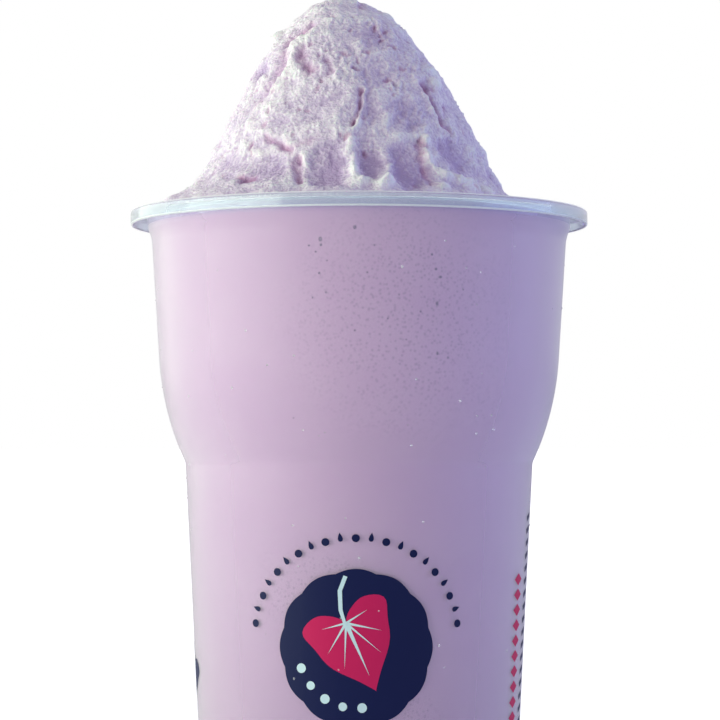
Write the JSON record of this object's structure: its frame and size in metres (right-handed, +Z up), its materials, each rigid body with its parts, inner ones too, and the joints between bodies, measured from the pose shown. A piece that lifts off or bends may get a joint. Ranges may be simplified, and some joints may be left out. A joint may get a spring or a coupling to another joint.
{
  "type": "iced slush drink",
  "caption": "Taro milk slush heaped high in a clear flanged plastic cup with a wide shoulder and a slimmer tapered body",
  "frame": {"origin": "centre of the cup's foot, on the table it stands on", "axes": "+Z up along the cup's axis, -Y to the viewer, +X to the right"},
  "size_m": [0.095, 0.095, 0.1721],
  "materials": {
    "cup": "clear polypropylene, glossy, faint cool tint",
    "slush": "opaque pale lilac milk ice, fine grained"
  },
  "bodies": {
    "root": {"cup": "cup", "slush": "slush"}
  },
  "joints": []
}
